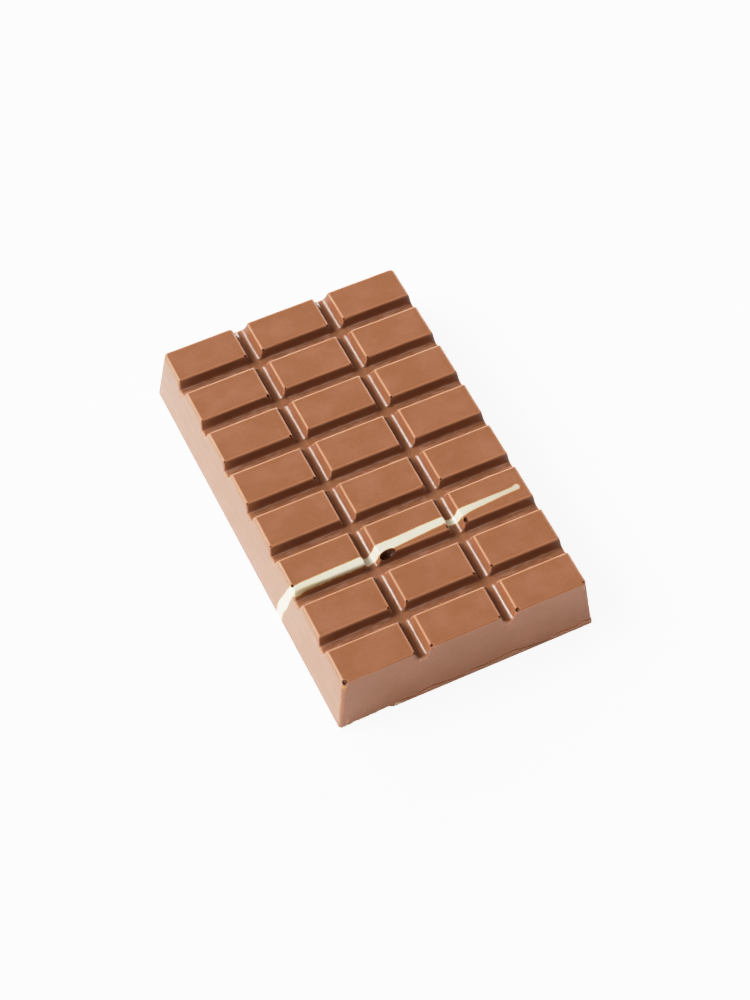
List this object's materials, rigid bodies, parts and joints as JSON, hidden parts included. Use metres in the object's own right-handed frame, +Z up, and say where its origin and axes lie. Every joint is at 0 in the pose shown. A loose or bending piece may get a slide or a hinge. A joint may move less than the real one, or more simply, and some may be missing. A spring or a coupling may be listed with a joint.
{
  "type": "chocolate bar",
  "caption": "Thick moulded block of milk chocolate with deep breaking grooves between its squares, sloping sides and a flat back.",
  "frame": {"origin": "middle of the flat back that the bar lies on", "axes": "+Y along the bar's length and its rows of squares, +X across its columns, +Z up out of the back through the grooved face"},
  "size_m": [0.0742, 0.1184, 0.0195],
  "materials": {
    "milk_chocolate": "satin"
  },
  "bodies": {
    "root": {"chocolate_bar": "milk_chocolate"}
  },
  "joints": []
}
